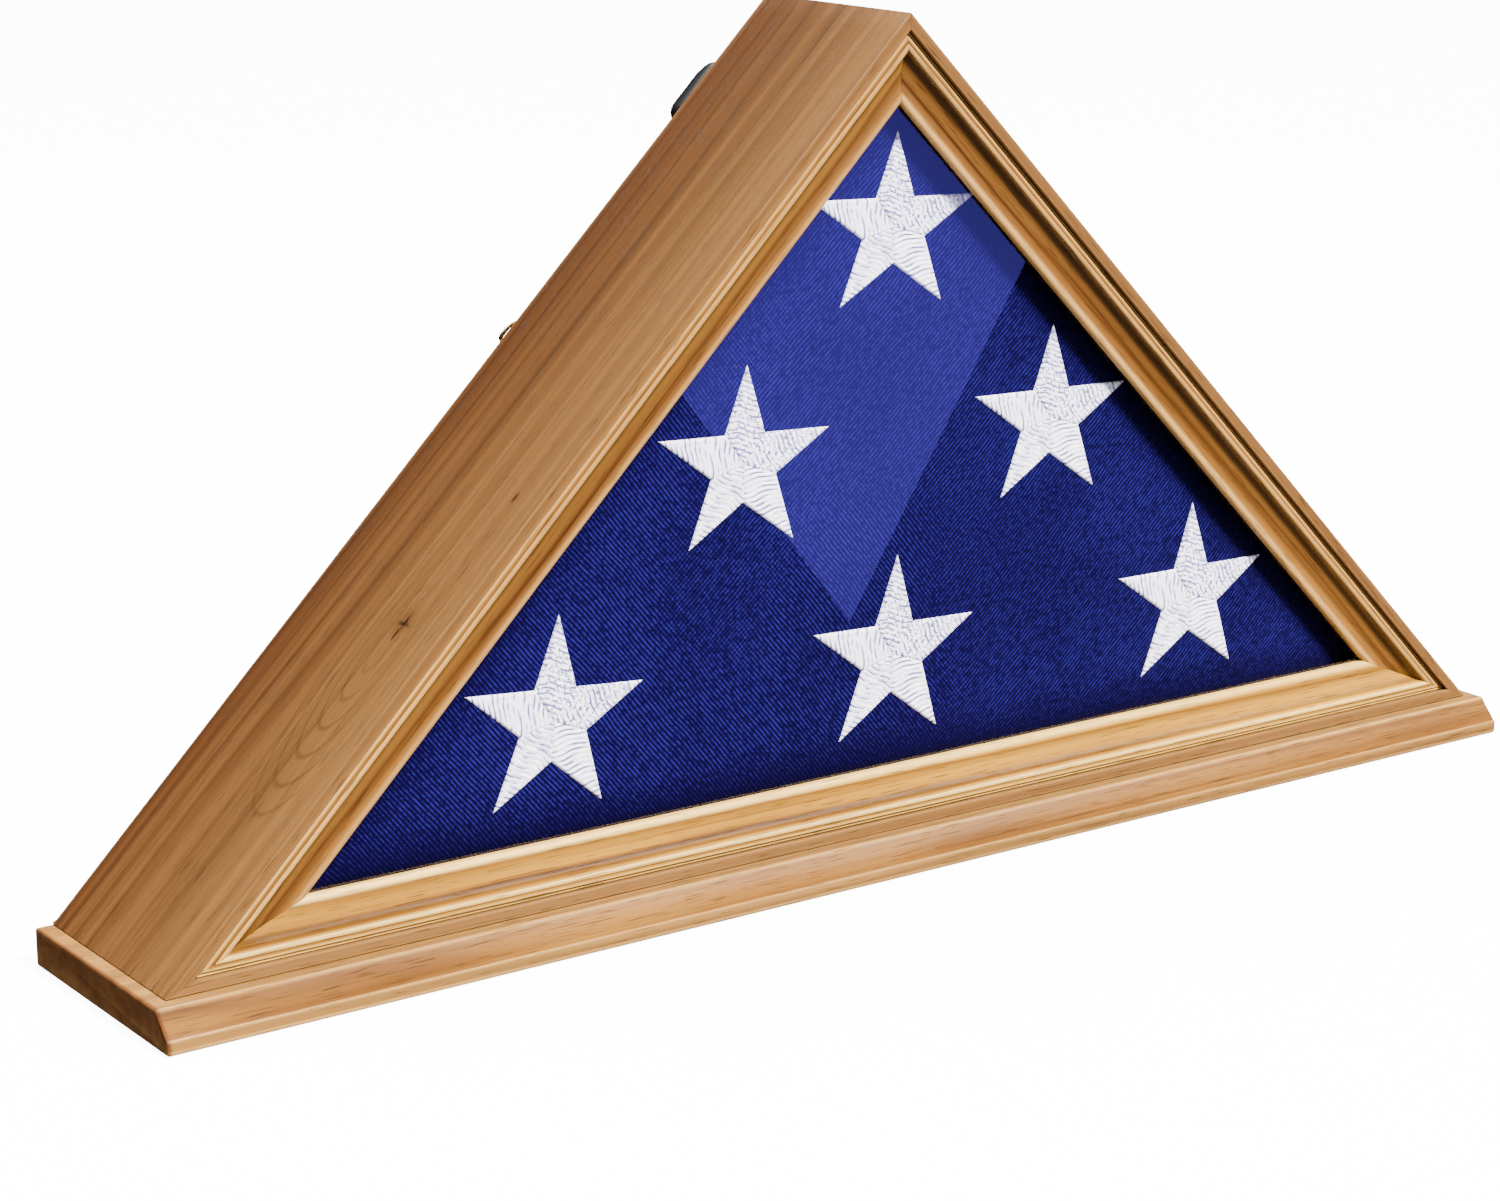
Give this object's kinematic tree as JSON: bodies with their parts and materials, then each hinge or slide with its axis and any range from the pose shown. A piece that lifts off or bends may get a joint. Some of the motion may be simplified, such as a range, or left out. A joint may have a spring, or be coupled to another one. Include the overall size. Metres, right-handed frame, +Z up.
{
  "type": "folded flag display case",
  "caption": "Triangular hardwood shadow box on a coved base, glazed in front, with a lift-out back held by turn buttons, holding a triangle-folded starred flag.",
  "frame": {"origin": "underside of the base board, under the apex, halfway between the case's front and rear faces", "axes": "+X along the base to the viewer's right, +Y from the glass to the back, +Z up"},
  "size_m": [0.661, 0.1153, 0.3392],
  "materials": {
    "oiled_hardwood": "satin clear lacquer over a light hardwood, straight grain",
    "beech": "raw",
    "clear_glass": "polished clear",
    "flag_cloth": "navy ribbed cloth with white embroidered stars",
    "black_hardboard": "black painted hardboard",
    "black_plastic": "moulded, fine matte",
    "hanger_brass": "brassed steel",
    "zinc_steel": "bright zinc"
  },
  "bodies": {
    "case": {"left_side_board": "oiled_hardwood", "right_side_board": "oiled_hardwood", "bottom_board": "oiled_hardwood", "base_board": "oiled_hardwood", "front_moulding_left": "oiled_hardwood", "front_moulding_right": "oiled_hardwood", "front_moulding_bottom": "oiled_hardwood", "glass_stop_left": "oiled_hardwood", "glass_stop_right": "oiled_hardwood", "glass_stop_bottom": "oiled_hardwood", "apex_biscuit": "beech", "left_foot_biscuit": "beech", "right_foot_biscuit": "beech", "glass_pane": "clear_glass", "folded_flag": "flag_cloth", "turn_button_upper_left_screw": "zinc_steel", "turn_button_upper_right_screw": "zinc_steel", "turn_button_lower_left_screw": "zinc_steel", "turn_button_lower_right_screw": "zinc_steel", "hanger_strap_left": "hanger_brass", "hanger_strap_right": "hanger_brass", "hanger_screw_left": "zinc_steel", "hanger_screw_right": "zinc_steel", "base_screw_left_1": "zinc_steel", "base_screw_left_2": "zinc_steel", "base_screw_right_1": "zinc_steel", "base_screw_right_2": "zinc_steel"},
    "back_panel": {"back_panel": "black_hardboard"},
    "turn_button_upper_left": {"turn_button_upper_left": "black_plastic"},
    "turn_button_upper_right": {"turn_button_upper_right": "black_plastic"},
    "turn_button_lower_left": {"turn_button_lower_left": "black_plastic"},
    "turn_button_lower_right": {"turn_button_lower_right": "black_plastic"},
    "hanger_ring_left": {"hanger_ring_left": "hanger_brass"},
    "hanger_ring_right": {"hanger_ring_right": "hanger_brass"}
  },
  "joints": [
    {"name": "back_panel_slide", "type": "slide", "parent": "case", "child": "back_panel", "axis": [0, 1, 0], "range_m": [0, 0.06]},
    {"name": "turn_button_upper_left_pivot", "type": "hinge", "parent": "case", "child": "turn_button_upper_left", "pos_m": [-0.03621, 0.0475, 0.29461], "axis": [0, 1, 0], "continuous": true},
    {"name": "turn_button_upper_right_pivot", "type": "hinge", "parent": "case", "child": "turn_button_upper_right", "pos_m": [0.03621, 0.0475, 0.29461], "axis": [0, -1, 0], "continuous": true},
    {"name": "turn_button_lower_left_pivot", "type": "hinge", "parent": "case", "child": "turn_button_lower_left", "pos_m": [-0.15, 0.0475, 0.0213], "axis": [0, 1, 0], "range_deg": [0, 180]},
    {"name": "turn_button_lower_right_pivot", "type": "hinge", "parent": "case", "child": "turn_button_lower_right", "pos_m": [0.15, 0.0475, 0.0213], "axis": [0, -1, 0], "range_deg": [0, 180]},
    {"name": "hanger_ring_left_pivot", "type": "hinge", "parent": "case", "child": "hanger_ring_left", "pos_m": [-0.12106, 0.05002, 0.20975], "axis": [-0.7071, 0, 0.7071], "range_deg": [0, 170]},
    {"name": "hanger_ring_right_pivot", "type": "hinge", "parent": "case", "child": "hanger_ring_right", "pos_m": [0.12106, 0.05002, 0.20975], "axis": [-0.7071, 0, -0.7071], "range_deg": [0, 170]}
  ]
}
